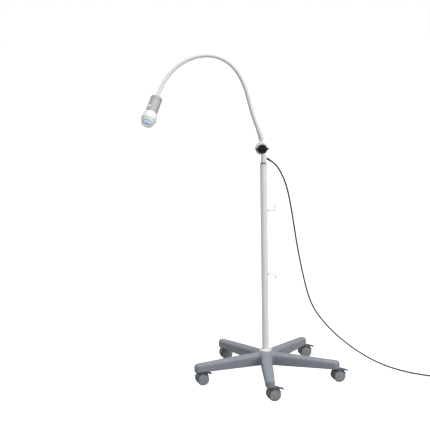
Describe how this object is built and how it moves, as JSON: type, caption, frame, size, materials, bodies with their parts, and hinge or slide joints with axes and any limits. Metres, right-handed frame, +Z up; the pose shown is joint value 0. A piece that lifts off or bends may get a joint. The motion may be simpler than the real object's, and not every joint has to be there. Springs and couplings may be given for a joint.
{
  "type": "surgical light",
  "caption": "Mobile examination light: small round lamp head on a white gooseneck, tilt joint with wing knob, pole with cord hooks, and a star base on braked castors.",
  "frame": {"origin": "on the floor on the pole's axis", "axes": "+Z up along the pole; -Y along the front base arm; the gooseneck hangs out towards -X"},
  "size_m": [1.2763, 0.5962, 1.3708],
  "materials": {
    "base_grey": "moulded polyamide, fine texture",
    "caster_grey": "moulded polyamide",
    "wheel_grey": "moulded polyamide, soft tread",
    "steel": "zinc plated",
    "pole_white": "white powder coat",
    "trim_white": "moulded white",
    "ring_dark": "black rubber",
    "joint_grey": "light grey paint",
    "arm_white": "white powder coat",
    "knob_black": "black moulded",
    "sleeve_white": "smooth white sleeve",
    "head_grey": "grey satin paint",
    "bezel_white": "white slightly translucent",
    "lens_clear": "clear moulded",
    "mirror_cup": "metallised",
    "sink_metal": "bare",
    "circuit_board": "solder mask",
    "cord_black": "black cable sheath",
    "plug_black": "black moulded, plated pins"
  },
  "bodies": {
    "base_and_pole": {"star_base": "base_grey", "caster_sockets": "steel", "caster_stems": "steel", "pole_flange": "trim_white", "base_bolt_and_washer": "steel", "pole": "pole_white", "pole_top_bush": "trim_white", "lock_ring": "ring_dark", "hook_upper": "pole_white", "hook_lower": "pole_white", "joint_spigot": "joint_grey", "clamp_bolt": "steel", "strain_relief": "ring_dark", "mains_cord": "cord_black", "cord_coil": "cord_black", "mains_plug": "plug_black"},
    "caster_front_fork": {"caster_front_housing": "caster_grey", "caster_front_axle": "steel"},
    "caster_front_wheel_l": {"caster_front_wheel_left": "wheel_grey"},
    "caster_front_wheel_r": {"caster_front_wheel_right": "wheel_grey"},
    "caster_front_brake": {"caster_front_pedal": "caster_grey"},
    "caster_right_fork": {"caster_right_housing": "caster_grey", "caster_right_axle": "steel"},
    "caster_right_wheel_l": {"caster_right_wheel_left": "wheel_grey"},
    "caster_right_wheel_r": {"caster_right_wheel_right": "wheel_grey"},
    "caster_right_brake": {"caster_right_pedal": "caster_grey"},
    "caster_rear_right_fork": {"caster_rear_right_housing": "caster_grey", "caster_rear_right_axle": "steel"},
    "caster_rear_right_wheel_l": {"caster_rear_right_wheel_left": "wheel_grey"},
    "caster_rear_right_wheel_r": {"caster_rear_right_wheel_right": "wheel_grey"},
    "caster_rear_right_brake": {"caster_rear_right_pedal": "caster_grey"},
    "caster_rear_left_fork": {"caster_rear_left_housing": "caster_grey", "caster_rear_left_axle": "steel"},
    "caster_rear_left_wheel_l": {"caster_rear_left_wheel_left": "wheel_grey"},
    "caster_rear_left_wheel_r": {"caster_rear_left_wheel_right": "wheel_grey"},
    "caster_rear_left_brake": {"caster_rear_left_pedal": "caster_grey"},
    "caster_left_fork": {"caster_left_housing": "caster_grey", "caster_left_axle": "steel"},
    "caster_left_wheel_l": {"caster_left_wheel_left": "wheel_grey"},
    "caster_left_wheel_r": {"caster_left_wheel_right": "wheel_grey"},
    "caster_left_brake": {"caster_left_pedal": "caster_grey"},
    "arm_base": {"arm_knuckle": "arm_white", "friction_washer": "ring_dark", "arm_boot": "sleeve_white", "neck_1": "sleeve_white"},
    "knob": {"clamp_knob": "knob_black"},
    "neck_link_2": {"neck_2": "sleeve_white"},
    "neck_link_3": {"neck_3": "sleeve_white"},
    "neck_link_4": {"neck_4": "sleeve_white"},
    "neck_link_5": {"neck_5": "sleeve_white"},
    "lamp_head": {"neck_6": "sleeve_white", "head_ferrule": "head_grey", "head_housing": "head_grey", "driver_board": "circuit_board", "heat_sink": "sink_metal", "led_board": "circuit_board", "reflector": "mirror_cup", "front_bezel": "bezel_white", "front_lens": "lens_clear"},
    "button": {"power_button": "bezel_white"}
  },
  "joints": [
    {"name": "caster_front_swivel", "type": "hinge", "parent": "base_and_pole", "child": "caster_front_fork", "pos_m": [0, -0.3, 0.05], "axis": [0, 0, 1], "continuous": true},
    {"name": "caster_front_wheel_l_spin", "type": "hinge", "parent": "caster_front_fork", "child": "caster_front_wheel_l", "pos_m": [0.01474, -0.29722, 0.025], "axis": [-0.1857, 0.9826, 0], "continuous": true},
    {"name": "caster_front_wheel_r_spin", "type": "hinge", "parent": "caster_front_fork", "child": "caster_front_wheel_r", "pos_m": [0.01474, -0.29722, 0.025], "axis": [-0.1857, 0.9826, 0], "continuous": true},
    {"name": "caster_front_brake_press", "type": "hinge", "parent": "caster_front_fork", "child": "caster_front_brake", "pos_m": [0.03144, -0.29406, 0.0486], "axis": [-0.1857, 0.9826, 0], "range_deg": [0, 18]},
    {"name": "caster_right_swivel", "type": "hinge", "parent": "base_and_pole", "child": "caster_right_fork", "pos_m": [0.28532, -0.0927, 0.05], "axis": [0, 0, 1], "continuous": true},
    {"name": "caster_right_wheel_l_spin", "type": "hinge", "parent": "caster_right_fork", "child": "caster_right_wheel_l", "pos_m": [0.30006, -0.08992, 0.025], "axis": [-0.1857, 0.9826, 0], "continuous": true},
    {"name": "caster_right_wheel_r_spin", "type": "hinge", "parent": "caster_right_fork", "child": "caster_right_wheel_r", "pos_m": [0.30006, -0.08992, 0.025], "axis": [-0.1857, 0.9826, 0], "continuous": true},
    {"name": "caster_right_brake_press", "type": "hinge", "parent": "caster_right_fork", "child": "caster_right_brake", "pos_m": [0.31676, -0.08676, 0.0486], "axis": [-0.1857, 0.9826, 0], "range_deg": [0, 18]},
    {"name": "caster_rear_right_swivel", "type": "hinge", "parent": "base_and_pole", "child": "caster_rear_right_fork", "pos_m": [0.17634, 0.24271, 0.05], "axis": [0, 0, 1], "continuous": true},
    {"name": "caster_rear_right_wheel_l_spin", "type": "hinge", "parent": "caster_rear_right_fork", "child": "caster_rear_right_wheel_l", "pos_m": [0.19107, 0.24549, 0.025], "axis": [-0.1857, 0.9826, 0], "continuous": true},
    {"name": "caster_rear_right_wheel_r_spin", "type": "hinge", "parent": "caster_rear_right_fork", "child": "caster_rear_right_wheel_r", "pos_m": [0.19107, 0.24549, 0.025], "axis": [-0.1857, 0.9826, 0], "continuous": true},
    {"name": "caster_rear_right_brake_press", "type": "hinge", "parent": "caster_rear_right_fork", "child": "caster_rear_right_brake", "pos_m": [0.20778, 0.24865, 0.0486], "axis": [-0.1857, 0.9826, 0], "range_deg": [0, 18]},
    {"name": "caster_rear_left_swivel", "type": "hinge", "parent": "base_and_pole", "child": "caster_rear_left_fork", "pos_m": [-0.17634, 0.24271, 0.05], "axis": [0, 0, 1], "continuous": true},
    {"name": "caster_rear_left_wheel_l_spin", "type": "hinge", "parent": "caster_rear_left_fork", "child": "caster_rear_left_wheel_l", "pos_m": [-0.1616, 0.24549, 0.025], "axis": [-0.1857, 0.9826, 0], "continuous": true},
    {"name": "caster_rear_left_wheel_r_spin", "type": "hinge", "parent": "caster_rear_left_fork", "child": "caster_rear_left_wheel_r", "pos_m": [-0.1616, 0.24549, 0.025], "axis": [-0.1857, 0.9826, 0], "continuous": true},
    {"name": "caster_rear_left_brake_press", "type": "hinge", "parent": "caster_rear_left_fork", "child": "caster_rear_left_brake", "pos_m": [-0.14489, 0.24865, 0.0486], "axis": [-0.1857, 0.9826, 0], "range_deg": [0, 18]},
    {"name": "caster_left_swivel", "type": "hinge", "parent": "base_and_pole", "child": "caster_left_fork", "pos_m": [-0.28532, -0.0927, 0.05], "axis": [0, 0, 1], "continuous": true},
    {"name": "caster_left_wheel_l_spin", "type": "hinge", "parent": "caster_left_fork", "child": "caster_left_wheel_l", "pos_m": [-0.27058, -0.08992, 0.025], "axis": [-0.1857, 0.9826, 0], "continuous": true},
    {"name": "caster_left_wheel_r_spin", "type": "hinge", "parent": "caster_left_fork", "child": "caster_left_wheel_r", "pos_m": [-0.27058, -0.08992, 0.025], "axis": [-0.1857, 0.9826, 0], "continuous": true},
    {"name": "caster_left_brake_press", "type": "hinge", "parent": "caster_left_fork", "child": "caster_left_brake", "pos_m": [-0.25387, -0.08676, 0.0486], "axis": [-0.1857, 0.9826, 0], "range_deg": [0, 18]},
    {"name": "arm_tilt", "type": "hinge", "parent": "base_and_pole", "child": "arm_base", "pos_m": [-0.008, 0, 0.978], "axis": [0.1219, -0.9925, 0], "range_deg": [-30, 75]},
    {"name": "clamp_knob_turn", "type": "hinge", "parent": "base_and_pole", "child": "knob", "pos_m": [-0.008, 0, 0.978], "axis": [0.1219, -0.9925, 0], "range_deg": [0, 300]},
    {"name": "neck_bend_lower", "type": "hinge", "parent": "arm_base", "child": "neck_link_2", "pos_m": [-0.04146, -0.00536, 1.11677], "axis": [0.1198, -0.9928, 0.007], "range_deg": [-30, 30]},
    {"name": "neck_sway_lower", "type": "hinge", "parent": "neck_link_2", "child": "neck_link_3", "pos_m": [-0.07333, -0.00872, 1.23479], "axis": [-0.932, -0.1144, -0.344], "range_deg": [-25, 25]},
    {"name": "neck_bend_middle", "type": "hinge", "parent": "neck_link_3", "child": "neck_link_4", "pos_m": [-0.14056, -0.0177, 1.33447], "axis": [0.1157, -0.9933, 0.0045], "range_deg": [-30, 30]},
    {"name": "neck_sway_upper", "type": "hinge", "parent": "neck_link_4", "child": "neck_link_5", "pos_m": [-0.25595, -0.03084, 1.36057], "axis": [0.1562, 0.0192, -0.9875], "range_deg": [-25, 25]},
    {"name": "neck_bend_upper", "type": "hinge", "parent": "neck_link_5", "child": "lamp_head", "pos_m": [-0.36105, -0.05715, 1.30777], "axis": [0.2898, -0.9447, 0.1536], "range_deg": [-30, 30]},
    {"name": "power_button_press", "type": "slide", "parent": "lamp_head", "child": "button", "axis": [0.4711, 0.5909, -0.6549], "range_m": [0, 0.0012], "stiffness_N_per_m": 1200}
  ],
  "couplings": [
    {"joint": "neck_bend_middle", "follows": "neck_bend_lower", "ratio": 1},
    {"joint": "neck_bend_upper", "follows": "neck_bend_lower", "ratio": 1},
    {"joint": "neck_sway_upper", "follows": "neck_sway_lower", "ratio": 1}
  ]
}
